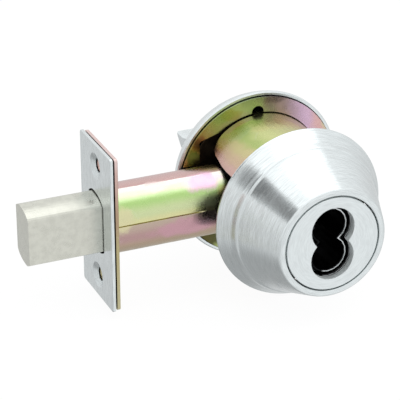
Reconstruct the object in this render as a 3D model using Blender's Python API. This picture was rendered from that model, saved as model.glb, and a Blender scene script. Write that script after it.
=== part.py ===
"""Tubular deadbolt door lock with a tapered, free-turning cylinder collar. All sizes are in metres.

X runs along the bolt, which points to -X. Y runs through the door: the key side is -Y and the
thumbturn side is +Y. Z is up. The origin is where the cylinder axis crosses the bolt axis. The bolt
is drawn thrown, and the thumbturn is drawn in its locked place.
"""

import math

import bmesh
import bpy

# Driving dimensions
BACKSET = 0.066  # front of the faceplate to the cylinder axis
THROW = 0.0254  # travel of the bolt
TURN = math.radians(90.0)  # turn of the thumbturn that moves the bolt through its throw
PROUD = 0.001  # what is left of the bolt in front of the faceplate when it is drawn back
GAP = 0.0003  # clearance between neighbours
SHEET = 0.0012  # thickness of the pressed steel parts

# Faceplate and latch tube
FACE_WIDTH, FACE_HEIGHT, FACE_CORNER = 0.028575, 0.05715, 0.001
BACKING_WIDTH, BACKING_HEIGHT = 0.0280, 0.0564
PLATE_SPACE = 0.0005  # dark line between the faceplate and its backing plate
SCREW_SPACING = 0.04128
SCREW_HEAD_RADIUS, SCREW_BACK_RADIUS, SCREW_THREAD_RADIUS = 0.0045, 0.0026, 0.0021
TUBE_RADIUS, TUBE_WALL, TUBE_END = 0.012, 0.001, -0.020

# Bolt
BOLT_HALF_WIDTH, BOLT_HALF_HEIGHT = 0.0062, 0.0102
BOLT_FLAT_TOP, BOLT_CROWN = 0.0068, 0.0020
BOLT_REACH = TUBE_RADIUS - TUBE_WALL - GAP  # its corners follow the inside of the tube
BOLT_REAR = -0.052
ROD_RADIUS, ROD_FRONT = 0.0020, -0.088
ROD_HEIGHTS = {"anti_saw_rod_upper": 0.0048, "anti_saw_rod_lower": -0.0016}

# Drive inside the drum
PIN_HEIGHT = THROW / 2.0  # of the drive pin below the cylinder axis
DRIVE_PIN_RADIUS, SMALL_PIN_RADIUS = 0.0015, 0.0012
WIDEST_SLOT = 0.007  # distance of the pin from the middle of its travel where the cam's slot is widest
ARM_HALF_THICKNESS, HUB_RADIUS, JOURNAL_RADIUS = 0.0015, 0.0055, 0.0042
FORK_HALF_WIDTH, FORK_TOP, FORK_BOTTOM = 0.0043, -0.0064, -0.0098
FORK_JOINT = (-0.056, -0.0081)
CASE_INSIDE, CASE_HALF_HEIGHT, CASE_FRONT = 0.00655, 0.0074, -0.028
CASE_RIVETS = {"case_rivet_front": (-0.0205, 0.0052), "case_rivet_rear": (-0.0110, 0.0052)}
BLADE_HALF_WIDTH, BLADE_HALF_THICKNESS = 0.0028, 0.0014
THROUGH_SCREW_PLACE, THROUGH_SCREW_RADIUS = 0.0155, 0.0020

# Cylinder side
PLUG_DROP = 0.0053  # plug axis below the cylinder axis
OPENING_RADIUS, SLEEVE_RADIUS, CHAMBER_RADIUS = 0.00785, 0.0066, 0.0062
RECESS_REAR, SLEEVE_FRONT, CHAMBER_REAR = -0.0410, -0.0443, -0.0173
FACE_FRONT, FACE_REAR, CYLINDER_RADIUS = -0.0476, -0.0450, 0.0169
FLANGE_RADIUS, FLANGE_FRONT, FLANGE_REAR = 0.0223, -0.0186, -0.0152
COUPLING_RADIUS = 0.0098  # of the drive pins about the plug axis
DRUM_RADIUS, DRUM_FRONT, DRUM_REAR = 0.02403, -0.0240, 0.0130
DRUM_SLOT = 0.0138  # half height of the opening that the tube passes through

# Thumbturn side
PLATE_FACE, PLATE_RADIUS, PLATE_OPENING, PLATE_THICKNESS = 0.0114, 0.0300, 0.0244, 0.0016
SHAFT_RADIUS = 0.0040

FINISHES = {
    "satin_chrome": ((0.62, 0.64, 0.66), 0.32, 1.0),
    "bolt_steel": ((0.60, 0.59, 0.54), 0.38, 1.0),
    "zinc_dichromate": ((0.66, 0.58, 0.34), 0.28, 1.0),
    "plain_steel": ((0.42, 0.43, 0.44), 0.40, 1.0),
    "hard_steel": ((0.30, 0.31, 0.32), 0.35, 1.0),
    "brass": ((0.70, 0.55, 0.26), 0.35, 1.0),
    "nylon": ((0.80, 0.79, 0.74), 0.55, 0.0),
}

AXES = {
    "X": (lambda u, v, along: (along, u, v), (1.0, 0.0, 0.0)),
    "Y": (lambda u, v, along: (u, along, v), (0.0, 1.0, 0.0)),
    "Z": (lambda u, v, along: (u, v, along), (0.0, 0.0, 1.0)),
}


def clear_scene():
    """Empty the file, so that the lock is all it holds."""
    for obj in list(bpy.data.objects):
        bpy.data.objects.remove(obj, do_unlink=True)


def finish_material(name):
    """The material of one finish, made the first time it is asked for."""
    if name in bpy.data.materials:
        return bpy.data.materials[name]
    colour, roughness, metallic = FINISHES[name]
    material = bpy.data.materials.new(name)
    material.use_nodes = True
    shader = material.node_tree.nodes["Principled BSDF"]
    shader.inputs["Base Color"].default_value = (*colour, 1.0)
    shader.inputs["Roughness"].default_value = roughness
    shader.inputs["Metallic"].default_value = metallic
    return material


def place(name, finish, bm):
    """Turn a bmesh into a named object with its finish."""
    bmesh.ops.remove_doubles(bm, verts=bm.verts, dist=1e-7)
    bmesh.ops.recalc_face_normals(bm, faces=bm.faces)
    mesh = bpy.data.meshes.new(name)
    bm.to_mesh(mesh)
    bm.free()
    mesh.shade_smooth()
    mesh.set_sharp_from_angle(angle=math.radians(30.0))
    obj = bpy.data.objects.new(name, mesh)
    bpy.context.scene.collection.objects.link(obj)
    if finish:
        mesh.materials.append(finish_material(finish))
    return obj


def prism(name, finish, outline, axis, low, high):
    """A flat outline carried from low to high along an axis."""
    to_world, direction = AXES[axis]
    bm = bmesh.new()
    face = bm.faces.new([bm.verts.new(to_world(u, v, low)) for u, v in outline])
    grown = bmesh.ops.extrude_face_region(bm, geom=[face])["geom"]
    moved = [item for item in grown if isinstance(item, bmesh.types.BMVert)]
    bmesh.ops.translate(bm, verts=moved, vec=[part * (high - low) for part in direction])
    return place(name, finish, bm)


def turned(name, finish, profile, axis="Y", centre=(0.0, 0.0), steps=48, ring=False):
    """A profile of (radius, place along the axis) points turned once round an axis."""
    to_world, direction = AXES[axis]
    bm = bmesh.new()
    verts = [bm.verts.new(to_world(centre[0] + r, centre[1], along)) for r, along in profile]
    pairs = list(zip(verts, verts[1:])) + ([(verts[-1], verts[0])] if ring else [])
    edges = [bm.edges.new(pair) for pair in pairs]
    bmesh.ops.spin(
        bm,
        geom=verts + edges,
        cent=to_world(centre[0], centre[1], 0.0),
        axis=direction,
        angle=2.0 * math.pi,
        steps=steps,
        use_merge=True,
    )
    return place(name, finish, bm)


def rod(name, finish, radius, low, high, axis="Y", centre=(0.0, 0.0), steps=24):
    """A plain round rod."""
    profile = [(0.0, low), (radius, low), (radius, high), (0.0, high)]
    return turned(name, finish, profile, axis, centre, steps)


def combine(target, other, operation):
    """Join or cut an object with a second one, which stays as a hidden guide."""
    other.hide_render = True
    other.display_type = "WIRE"
    modifier = target.modifiers.new(other.name, "BOOLEAN")
    modifier.object = other
    modifier.operation = operation
    modifier.solver = "EXACT"


def cut(target, other):
    """Take the second shape out of the first."""
    combine(target, other, "DIFFERENCE")


def join(target, other):
    """Add the second shape to the first."""
    combine(target, other, "UNION")


def arc(centre, radii, start, end, steps):
    """Points on an elliptical arc, from a start angle to an end angle in degrees."""
    points = []
    for step in range(steps + 1):
        angle = math.radians(start + (end - start) * step / steps)
        points.append((centre[0] + radii[0] * math.cos(angle), centre[1] + radii[1] * math.sin(angle)))
    return points


def rounded_rectangle(width, height, corner, steps=3):
    """A rectangle about the origin with round corners."""
    points = []
    for index, (across, up) in enumerate([(1, 1), (-1, 1), (-1, -1), (1, -1)]):
        centre = (across * (width / 2.0 - corner), up * (height / 2.0 - corner))
        points += arc(centre, (corner, corner), 90.0 * index, 90.0 * (index + 1), steps)
    return points


def figure_eight(radius, steps=14):
    """The outline of an interchangeable core: two lobes, one above the other."""
    waist = math.degrees(math.asin(PLUG_DROP / radius))
    upper = arc((0.0, PLUG_DROP), (radius, radius), -waist, 180.0 + waist, steps)
    lower = arc((0.0, -PLUG_DROP), (radius, radius), 180.0 - waist, 360.0 + waist, steps)
    return upper + lower[1:-1]


def bolt_outline(clearance):
    """The bolt's section in Y and Z: one crowned corner on top, and the same turned half round."""
    wide, high = BOLT_HALF_WIDTH + clearance, BOLT_HALF_HEIGHT + clearance
    crown = (BOLT_CROWN + wide, high - BOLT_FLAT_TOP)
    half = arc((BOLT_CROWN, BOLT_FLAT_TOP), crown, 180.0, 90.0, 10)
    reach = BOLT_REACH + clearance
    first, last = math.degrees(math.asin(high / reach)), math.degrees(math.acos(wide / reach))
    half += arc((0.0, 0.0), (reach, reach), first, last, 3)
    return half + [(-y, -z) for y, z in half]


def slot_half_width(radius, clearance):
    """Half width of the cam's slot at a radius, for a pin that moves level at a constant rate."""
    level = max(math.sqrt(max(radius * radius - PIN_HEIGHT * PIN_HEIGHT, 0.0)), WIDEST_SLOT)
    lead = math.atan2(level, PIN_HEIGHT) - level * TURN / THROW
    return math.hypot(level, PIN_HEIGHT) * math.sin(max(lead, 0.0)) + DRIVE_PIN_RADIUS + clearance


def slot_outline(clearance, steps=8):
    """The cam's slot in X and Z, at rest, on a line that points down and towards the bolt."""
    inner, outer = PIN_HEIGHT, PIN_HEIGHT * math.sqrt(2.0)
    end = DRIVE_PIN_RADIUS + clearance
    radii = [inner + (outer - inner) * step / steps for step in range(1, steps)]
    side = [(radius, slot_half_width(radius, clearance)) for radius in radii]
    points = arc((inner, 0.0), (end, slot_half_width(inner, clearance)), 270.0, 90.0, 8) + side
    points += arc((outer, 0.0), (end, end), 90.0, -90.0, 6)
    points += [(radius, -half) for radius, half in reversed(side)]
    return [turn_point(point, -135.0) for point in points]


def turn_point(point, degrees):
    """A point of a flat outline turned about the origin."""
    angle = math.radians(degrees)
    return (
        point[0] * math.cos(angle) - point[1] * math.sin(angle),
        point[0] * math.sin(angle) + point[1] * math.cos(angle),
    )


def blade_outline(clearance):
    """The tailpiece's flat section in X and Z, which stands at 45 degrees while the bolt is thrown."""
    wide, thick = BLADE_HALF_WIDTH + clearance, BLADE_HALF_THICKNESS + clearance
    corners = [(wide, thick), (-wide, thick), (-wide, -thick), (wide, -thick)]
    return [turn_point(corner, -45.0) for corner in corners]


def build_faceplate():
    """Faceplate and backing plate, with the bolt's slot and two empty countersunk screw holes."""
    front = -BACKSET
    outline = rounded_rectangle(FACE_WIDTH, FACE_HEIGHT, FACE_CORNER)
    face = prism("faceplate", "satin_chrome", outline, "X", front, front + SHEET)
    cut(face, prism("face_slot", None, bolt_outline(0.0006), "X", front - 0.001, front + 0.003))
    back = front + SHEET + PLATE_SPACE
    outline = rounded_rectangle(BACKING_WIDTH, BACKING_HEIGHT, FACE_CORNER)
    backing = prism("backing_plate", "zinc_dichromate", outline, "X", back, back + SHEET)
    cut(backing, rod("backing_bore", None, TUBE_RADIUS + GAP, back - 0.001, back + 0.003, "X", steps=48))
    for side in (1, -1):
        centre = (0.0, side * SCREW_SPACING / 2.0)
        profile = [
            (0.0, front - 0.0004),
            (SCREW_HEAD_RADIUS + 0.0004, front - 0.0004),
            (SCREW_BACK_RADIUS - 0.0002, front + SHEET + 0.0002),
            (0.0, front + SHEET + 0.0002),
        ]
        cut(face, turned(f"face_hole_{side}", None, profile, "X", centre, 28))
        bore = SCREW_THREAD_RADIUS
        cut(backing, rod(f"backing_hole_{side}", None, bore, back - 0.001, back + 0.003, "X", centre))


def build_tube():
    """The latch tube, from the faceplate's rear to the drum."""
    front = -BACKSET + SHEET + PLATE_SPACE / 2.0 + 0.0001
    inside, edge = TUBE_RADIUS - TUBE_WALL, 0.0004
    profile = [
        (inside, front),
        (TUBE_RADIUS, front),
        (TUBE_RADIUS, TUBE_END - edge),
        (TUBE_RADIUS - edge, TUBE_END),
        (inside, TUBE_END),
    ]
    turned("latch_tube", "zinc_dichromate", profile, "X", steps=48, ring=True)


def build_bolt():
    """The bolt, its two hardened rods, and the pin that holds the fork in its underside."""
    front = -BACKSET - THROW - PROUD
    bolt = prism("bolt", "bolt_steel", bolt_outline(0.0), "X", front, BOLT_REAR)
    for name, height in ROD_HEIGHTS.items():
        rod(name, "hard_steel", ROD_RADIUS, ROD_FRONT, BOLT_REAR - 0.0005, "X", (0.0, height), 16)
        bore = (0.0, height)
        end = ROD_FRONT - GAP
        cut(bolt, rod(f"{name}_bore", None, ROD_RADIUS + GAP, end, BOLT_REAR + 0.001, "X", bore, 16))
    wide = 2.0 * (FORK_HALF_WIDTH + GAP)
    top = FORK_TOP + GAP
    groove = [(-wide / 2.0, -0.012), (wide / 2.0, -0.012), (wide / 2.0, top), (-wide / 2.0, top)]
    cut(bolt, prism("bolt_groove", None, groove, "X", -0.0605, BOLT_REAR + 0.001))
    cut(bolt, rod("bolt_pin_bore", None, SMALL_PIN_RADIUS + GAP, -0.008, 0.008, "Y", FORK_JOINT, 16))
    rod("fork_pin", "hard_steel", SMALL_PIN_RADIUS, -0.0060, 0.0060, "Y", FORK_JOINT, 16)


def build_fork():
    """The fork that the cam drives: a tongue under the bolt and two cheeks with a pin across them."""
    rear = -PIN_HEIGHT
    outline = [(-0.060, FORK_BOTTOM), (rear - 0.0045, FORK_BOTTOM), (rear - 0.0042, rear)]
    outline += arc((rear, rear), (0.0030, 0.0027), 200.0, 340.0, 8)
    outline += [(rear + 0.0042, rear), (rear + 0.0042, FORK_TOP), (-0.060, FORK_TOP)]
    fork = prism("bolt_fork", "plain_steel", outline, "Y", -FORK_HALF_WIDTH, FORK_HALF_WIDTH)
    half = ARM_HALF_THICKNESS + GAP
    slot = [(-0.046, -half), (0.0, -half), (0.0, half), (-0.046, half)]
    cut(fork, prism("fork_slot", None, slot, "Z", -0.02, 0.0))
    cut(fork, rod("fork_joint_bore", None, SMALL_PIN_RADIUS + GAP, -0.01, 0.01, "Y", FORK_JOINT, 16))
    pin_place = (rear, rear)
    cut(fork, rod("fork_pin_bore", None, DRIVE_PIN_RADIUS + GAP, -0.01, 0.01, "Y", pin_place, 20))
    rod("drive_pin", "hard_steel", DRIVE_PIN_RADIUS, -0.0042, 0.0042, "Y", pin_place, 20)


def build_case():
    """Two case plates that leave the tube and carry the cam, with the rivets that space them."""
    for name, side in {"case_plate_key_side": -1.0, "case_plate_turn_side": 1.0}.items():
        low, high = sorted((side * CASE_INSIDE, side * (CASE_INSIDE + SHEET)))
        outline = [(CASE_FRONT, CASE_HALF_HEIGHT), (CASE_FRONT, -CASE_HALF_HEIGHT)]
        outline += arc((0.0, 0.0), (CASE_HALF_HEIGHT, CASE_HALF_HEIGHT), -90.0, 90.0, 16)
        plate = prism(name, "plain_steel", outline, "Y", low, high)
        holes = {"cam": ((0.0, 0.0), JOURNAL_RADIUS + GAP)}
        holes["screw"] = ((-THROUGH_SCREW_PLACE, 0.0), THROUGH_SCREW_RADIUS + 0.0006)
        for rivet, centre in CASE_RIVETS.items():
            holes[rivet] = (centre, SMALL_PIN_RADIUS + GAP)
        for use, (centre, radius) in holes.items():
            cut(plate, rod(f"{name}_{use}_hole", None, radius, low - 0.001, high + 0.001, "Y", centre, 24))
    for rivet, centre in CASE_RIVETS.items():
        rod(rivet, "plain_steel", SMALL_PIN_RADIUS, -0.0081, 0.0081, "Y", centre, 16)


def build_cam():
    """The cam: a hub that turns in the case plates and a slotted arm that moves the drive pin."""
    hub = [(0.0, -0.0083), (JOURNAL_RADIUS, -0.0083), (JOURNAL_RADIUS, -0.0062), (HUB_RADIUS, -0.0062)]
    hub += [(radius, -along) for radius, along in reversed(hub)]
    cam = turned("cam", "plain_steel", hub, "Y", steps=32)
    rim = 0.0018
    outer, end = PIN_HEIGHT * math.sqrt(2.0), DRIVE_PIN_RADIUS + GAP + rim
    side = [(0.0, 0.0048), (0.008, 0.0044)]
    radii = [PIN_HEIGHT + step * 0.0009 for step in range(6)]
    side += [(radius, slot_half_width(radius, GAP + rim)) for radius in radii]
    arm = side + arc((outer, 0.0), (end, end), 90.0, -90.0, 10)
    arm += [(along, -half) for along, half in reversed(side)]
    arm = [turn_point(point, -135.0) for point in arm]
    join(cam, prism("cam_arm", None, arm, "Y", -ARM_HALF_THICKNESS, ARM_HALF_THICKNESS))
    cut(cam, prism("cam_slot", None, slot_outline(GAP), "Y", -0.004, 0.004))
    cut(cam, prism("cam_blade_hole", None, blade_outline(GAP), "Y", -0.01, 0.01))


def build_tailpiece():
    """The flat tailpiece and the plate on its end that the throw member's pins turn."""
    prism("tailpiece", "plain_steel", blade_outline(0.0), "Y", -0.0122, 0.0180)
    low, high = -0.0116, -0.0094
    end = 0.0083
    outline = arc((COUPLING_RADIUS, 0.0), (end, end), -90.0, 90.0, 14)
    outline += arc((-COUPLING_RADIUS, 0.0), (end, end), 90.0, 270.0, 14)
    plate = prism("drive_plate", "plain_steel", [turn_point(p, 45.0) for p in outline], "Y", low, high)
    hole = PLUG_DROP + SMALL_PIN_RADIUS + GAP
    for side in (1, -1):
        centre = turn_point((side * COUPLING_RADIUS, 0.0), 45.0)
        cut(plate, rod(f"drive_hole_{side}", None, hole, low - 0.001, high + 0.001, "Y", centre, 32))
    cut(plate, prism("drive_blade_hole", None, blade_outline(GAP), "Y", low - 0.001, high + 0.001))


def build_throw_member():
    """The throw member: two prongs for the core's plug, and two pins that turn the drive plate."""
    plug = (0.0, -PLUG_DROP)
    profile = [(0.0, -0.0196), (0.0057, -0.0196), (0.0057, -0.0176), (0.0044, -0.0176)]
    profile += [(0.0044, -0.0149), (0.0118, -0.0149), (0.0118, -0.0127), (0.0, -0.0127)]
    member = turned("throw_member", "plain_steel", profile, "Y", plug, 36)
    for side in (1, -1):
        prong = (side * 0.0038, -PLUG_DROP)
        join(member, rod(f"throw_prong_{side}", None, SMALL_PIN_RADIUS, -0.0245, -0.0186, "Y", prong, 16))
        across, up = turn_point((side * COUPLING_RADIUS, 0.0), 45.0)
        pin = (across, up - PLUG_DROP)
        join(member, rod(f"throw_pin_{side}", None, SMALL_PIN_RADIUS, -0.0137, -0.0089, "Y", pin, 16))


def build_cylinder():
    """The core housing with its sleeved, empty figure-eight chamber, and the face disc before it."""
    front = FACE_REAR + GAP
    profile = [(0.0, front), (CYLINDER_RADIUS, front), (CYLINDER_RADIUS, FLANGE_FRONT)]
    profile += [(FLANGE_RADIUS, FLANGE_FRONT), (FLANGE_RADIUS, FLANGE_REAR), (0.0, FLANGE_REAR)]
    housing = turned("core_housing", "brass", profile, "Y", steps=56)
    for side in (1, -1):
        centre = (side * THROUGH_SCREW_PLACE, 0.0)
        join(housing, rod(f"screw_boss_{side}", None, 0.0038, -0.0290, -0.0170, "Y", centre, 24))
        bore = THROUGH_SCREW_RADIUS + GAP
        cut(housing, rod(f"screw_bore_{side}", None, bore, -0.0270, -0.0140, "Y", centre, 20))
    cut(housing, prism("housing_recess", None, figure_eight(OPENING_RADIUS), "Y", -0.050, RECESS_REAR))
    join(housing, prism("housing_sleeve", None, figure_eight(SLEEVE_RADIUS), "Y", SLEEVE_FRONT, -0.040))
    cut(housing, prism("core_chamber", None, figure_eight(CHAMBER_RADIUS), "Y", -0.050, CHAMBER_REAR))
    cut(housing, rod("throw_bore", None, 0.0047, -0.0190, -0.0140, "Y", (0.0, -PLUG_DROP), 32))
    disc = rod("face_disc", "satin_chrome", CYLINDER_RADIUS, FACE_FRONT, FACE_REAR, "Y", steps=56)
    cut(disc, prism("face_opening", None, figure_eight(OPENING_RADIUS), "Y", -0.050, -0.044))


def build_collar():
    """The tapered collar that turns freely round the cylinder, and the ring that keeps it on."""
    bore = CYLINDER_RADIUS + 0.0004
    outside = [(0.0190, FACE_FRONT - 0.0001), (0.0198, -0.0470), (0.0270, -0.0283), (0.0276, -0.0276)]
    outside += [(0.0277, -0.0270), (0.0284, -0.0252), (0.0310, -0.0216), (0.0310, -0.0211)]
    inside = [(0.0296, -0.0211), (0.0266, -0.0260), (0.0252, -0.0285), (0.0190, -0.0450)]
    lip = [(bore, -0.0450), (bore, FACE_FRONT + 0.0003)]
    turned("collar", "satin_chrome", outside + inside + lip, "Y", steps=64, ring=True)
    inner = CYLINDER_RADIUS + GAP
    ring = [(inner, -0.0446), (0.0184, -0.0446), (0.0184, -0.0438), (inner, -0.0438)]
    turned("collar_retaining_ring", "plain_steel", ring, "Y", steps=40, ring=True)


def build_drum():
    """The reinforcing drum: a rolled sheet round the drive, open towards the bolt."""
    inside = DRUM_RADIUS - SHEET
    profile = [(inside, DRUM_FRONT), (DRUM_RADIUS, DRUM_FRONT)]
    profile += [(DRUM_RADIUS, DRUM_REAR), (inside, DRUM_REAR)]
    drum = turned("reinforcing_drum", "zinc_dichromate", profile, "Y", steps=72, ring=True)
    reach = -DRUM_RADIUS - 0.002
    slot = [(-0.0250, 0.0126), (-0.0060, 0.0126), (-0.0020, 0.0129), (0.0010, 0.0134), (0.0033, DRUM_SLOT)]
    slot += [(0.0145, DRUM_SLOT)]
    slot += [(y, -z) for y, z in reversed(slot)]
    cut(drum, prism("drum_slot", None, slot, "X", reach, -0.010))
    upper = arc((0.0033, DRUM_SLOT + 0.0068), (0.0070, 0.0068), -90.0, 0.0, 8)
    upper += [(0.0106, 0.0225), (0.0106, 0.0245), (0.0145, 0.0245)]
    relief = upper + [(y, -z) for y, z in reversed(upper)]
    cut(drum, prism("drum_relief", None, relief, "X", reach, -0.0020))


def build_mounting_plate():
    """The plate that bears on the door, open in the middle and notched towards the bolt."""
    rear = PLATE_FACE + PLATE_THICKNESS
    profile = [(PLATE_OPENING, PLATE_FACE), (PLATE_RADIUS, PLATE_FACE)]
    profile += [(PLATE_RADIUS, rear), (PLATE_OPENING, rear)]
    plate = turned("mounting_plate", "zinc_dichromate", profile, "Y", steps=72, ring=True)
    notch = [(-0.0060, 0.0196), (-0.0140, 0.0196)]
    notch += arc((-0.0215, 0.0161), (0.0012, 0.0012), 90.0, 180.0, 3)
    notch += [(x, -z) for x, z in reversed(notch)]
    cut(plate, prism("plate_notch", None, notch, "Y", PLATE_FACE - 0.001, rear + 0.001))
    gate = [(-0.0320, -0.0083), (-0.0200, -0.0083), (-0.0200, 0.0083), (-0.0320, 0.0083)]
    cut(plate, prism("plate_gate", None, gate, "Y", PLATE_FACE - 0.001, rear + 0.001))
    for side in (1, -1):
        centre = (-0.0004, side * 0.0246)
        hole = rod(f"plate_hole_{side}", None, 0.0023, PLATE_FACE - 0.001, rear + 0.001, "Y", centre, 28)
        cut(plate, hole)


def build_support_plate():
    """The plate behind it, which the through screws pull on and the thumbturn turns in."""
    low, high = 0.0133, 0.0149
    plate = rod("support_plate", "plain_steel", 0.0260, low, high, "Y", steps=48)
    cut(plate, rod("support_bore", None, 0.0059, low - 0.001, high + 0.001, "Y", steps=32))
    for side in (1, -1):
        centre = (-0.0004, side * 0.0246)
        cut(plate, rod(f"support_notch_{side}", None, 0.0034, low - 0.001, high + 0.001, "Y", centre, 28))
    barrel = [(0.0043, 0.0129), (0.0056, 0.0129), (0.0056, 0.0152)]
    barrel += [(0.0076, 0.0152), (0.0076, 0.0162), (0.0043, 0.0162)]
    turned("shaft_bushing", "nylon", barrel, "Y", steps=32, ring=True)
    radius = THROUGH_SCREW_RADIUS
    head = [(0.0, -0.0260), (radius, -0.0260), (radius, 0.0152)]
    head += [(0.0038, 0.0152), (0.0038, 0.0170), (0.0, 0.0180)]
    for name, side in {"through_screw_front": -1, "through_screw_rear": 1}.items():
        centre = (side * THROUGH_SCREW_PLACE, 0.0)
        screw = turned(name, "plain_steel", head, "Y", centre, 24)
        slot = [(centre[0] - 0.005, -0.0004), (centre[0] + 0.005, -0.0004)]
        slot += [(across, -up) for across, up in reversed(slot)]
        cut(screw, prism(f"{name}_slot", None, slot, "Y", 0.0168, 0.019))
        cut(plate, rod(f"{name}_hole", None, radius + GAP, low - 0.001, high + 0.001, "Y", centre, 24))


def build_thumbturn():
    """The thumbturn's shaft and clip, and the blade that a hand turns."""
    shaft = rod("thumbturn_shaft", "plain_steel", SHAFT_RADIUS, 0.0130, 0.0262, "Y", steps=28)
    cut(shaft, prism("shaft_slot", None, blade_outline(GAP), "Y", 0.0120, 0.0183))
    inner = SHAFT_RADIUS + GAP
    clip = [(inner, 0.0166), (0.0066, 0.0166), (0.0066, 0.0174), (inner, 0.0174)]
    ring = turned("shaft_clip", "plain_steel", clip, "Y", steps=32, ring=True)
    mouth = [(0.0, -0.0024), (0.008, -0.0036), (0.008, 0.0036), (0.0, 0.0024)]
    cut(ring, prism("clip_mouth", None, mouth, "Y", 0.016, 0.018))
    base = [(0.0, 0.0219), (0.0140, 0.0219), (0.0140, 0.0248), (0.0132, 0.0256), (0.0100, 0.0266)]
    base += [(0.0074, 0.0284), (0.0060, 0.0310), (0.0, 0.0310)]
    knob = turned("thumbturn", "satin_chrome", base, "Y", steps=40)
    blade = [(0.0058, 0.0255), (0.0086, 0.0290), (0.0110, 0.0350), (0.0135, 0.0420), (0.0147, 0.0475)]
    blade += arc((0.0135, 0.0508), (0.0012, 0.0012), 0.0, 90.0, 4)
    blade += [(-x, y) for x, y in reversed(blade)]
    grip = prism("thumbturn_blade", None, blade, "Z", -0.0080, 0.0080)
    across = [(-0.0127, -0.0033), (0.0139, -0.0033), (0.0145, -0.0029)]
    across += [(-x, -z) for x, z in across]
    combine(grip, prism("blade_section", None, across, "Y", 0.0240, 0.0530), "INTERSECT")
    join(knob, grip)
    cut(knob, rod("thumbturn_bore", None, SHAFT_RADIUS + GAP, 0.0200, 0.0265, "Y", steps=28))


def build_rose():
    """The inside rose, a shallow cup over the screws, and its set screw underneath."""
    outside = [(0.0311, 0.0124), (0.0315, 0.0128), (0.0315, 0.0136), (0.0308, 0.0156), (0.0297, 0.0180)]
    outside += [(0.0282, 0.0200), (0.0262, 0.0211), (0.0240, 0.0216), (0.0084, 0.0216)]
    inside = [(0.0084, 0.0204), (0.0238, 0.0204), (0.0256, 0.0199), (0.0272, 0.0190), (0.0286, 0.0173)]
    inside += [(0.0297, 0.0152), (0.03035, 0.0134), (0.03035, 0.0124)]
    rose = turned("inside_rose", "satin_chrome", outside + inside, "Y", steps=72, ring=True)
    place_of_screw = (0.0, 0.0147)
    cut(rose, rod("rose_screw_hole", None, 0.0016, -0.034, -0.0285, "Z", place_of_screw, 16))
    screw = rod("rose_set_screw", "hard_steel", 0.0013, -0.0309, -0.0270, "Z", place_of_screw, 16)
    cut(screw, rod("rose_screw_socket", None, 0.0007, -0.033, -0.0296, "Z", place_of_screw, 6))


def main():
    """Build the whole lock."""
    clear_scene()
    build_faceplate()
    build_tube()
    build_bolt()
    build_fork()
    build_case()
    build_cam()
    build_tailpiece()
    build_throw_member()
    build_cylinder()
    build_collar()
    build_drum()
    build_mounting_plate()
    build_support_plate()
    build_thumbturn()
    build_rose()


main()
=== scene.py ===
"""Looks of a tubular deadbolt door lock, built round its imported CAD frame. All sizes are in metres.

X runs along the bolt, which points to -X. Y runs through the door, with the key side at -Y and the
thumbturn side at +Y. Z is up. The origin is where the cylinder axis crosses the bolt axis.
"""

import logging
import math
from dataclasses import dataclass, field
from enum import Enum
from typing import Callable

import bmesh
import bpy
from mathutils import Matrix, Vector


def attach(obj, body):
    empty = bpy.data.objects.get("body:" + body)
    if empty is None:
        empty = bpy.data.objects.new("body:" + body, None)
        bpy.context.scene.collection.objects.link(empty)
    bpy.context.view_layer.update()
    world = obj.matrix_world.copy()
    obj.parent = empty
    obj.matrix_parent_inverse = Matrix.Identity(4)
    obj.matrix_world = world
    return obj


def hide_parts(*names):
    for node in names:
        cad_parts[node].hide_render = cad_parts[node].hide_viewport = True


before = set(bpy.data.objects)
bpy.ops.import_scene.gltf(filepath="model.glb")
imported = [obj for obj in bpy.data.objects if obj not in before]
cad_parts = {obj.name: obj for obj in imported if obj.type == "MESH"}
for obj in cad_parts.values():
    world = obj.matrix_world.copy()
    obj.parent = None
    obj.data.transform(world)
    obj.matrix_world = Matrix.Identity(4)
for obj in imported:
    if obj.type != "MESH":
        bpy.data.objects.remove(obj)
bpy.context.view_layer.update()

LOG = logging.getLogger("deadbolt")

Point = tuple[float, float]
Place = tuple[float, float, float]
Colour = tuple[float, float, float]
Stops = list[tuple[float, Colour]]
Wall = list[tuple[float, list[Point]]]


class Slot(Enum):
    """Material slots named in the part's record."""

    SATIN_CHROME = "satin_chrome"
    DICHROMATE = "zinc_dichromate"


class Body(Enum):
    """Bodies that new pieces ride on."""

    LOCK = "lock_body"
    COLLAR = "collar"


class Axis(Enum):
    """Directions through a pierced plate."""

    X = "X"
    Y = "Y"

    def point(self, u: float, v: float, along: float) -> Place:
        """Place a point of a flat outline in the world.

        Args:
            u: First coordinate across the axis.
            v: Second coordinate across the axis.
            along: Place along the axis.

        Returns:
            The point in world metres.
        """
        return (along, u, v) if self is Axis.X else (u, along, v)


# Outlines


def arc(centre: Point, radius: float, start: float, end: float, steps: int) -> list[Point]:
    """Lay points on a circular arc.

    Args:
        centre: Centre of the arc.
        radius: Radius of the arc.
        start: First angle in degrees.
        end: Last angle in degrees.
        steps: Number of chords.

    Returns:
        The points, both ends included.
    """
    angles = [math.radians(start + (end - start) * step / steps) for step in range(steps + 1)]
    return [(centre[0] + radius * math.cos(a), centre[1] + radius * math.sin(a)) for a in angles]


def circle(centre: Point, radius: float, steps: int) -> list[Point]:
    """Lay points round a whole circle.

    Args:
        centre: Centre of the circle.
        radius: Radius of the circle.
        steps: Number of chords.

    Returns:
        The points of the closed outline.
    """
    return arc(centre, radius, 0.0, 360.0, steps)[:-1]


def rounded_rectangle(width: float, height: float, corner: float, steps: int = 5) -> list[Point]:
    """Draw a rectangle about the origin with round corners.

    Args:
        width: Full width.
        height: Full height.
        corner: Corner radius.
        steps: Chords in each corner.

    Returns:
        The points of the closed outline.
    """
    points: list[Point] = []
    for index, (across, up) in enumerate([(1, 1), (-1, 1), (-1, -1), (1, -1)]):
        centre = (across * (width / 2.0 - corner), up * (height / 2.0 - corner))
        points += arc(centre, corner, 90.0 * index, 90.0 * (index + 1), steps)
    return points


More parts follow.
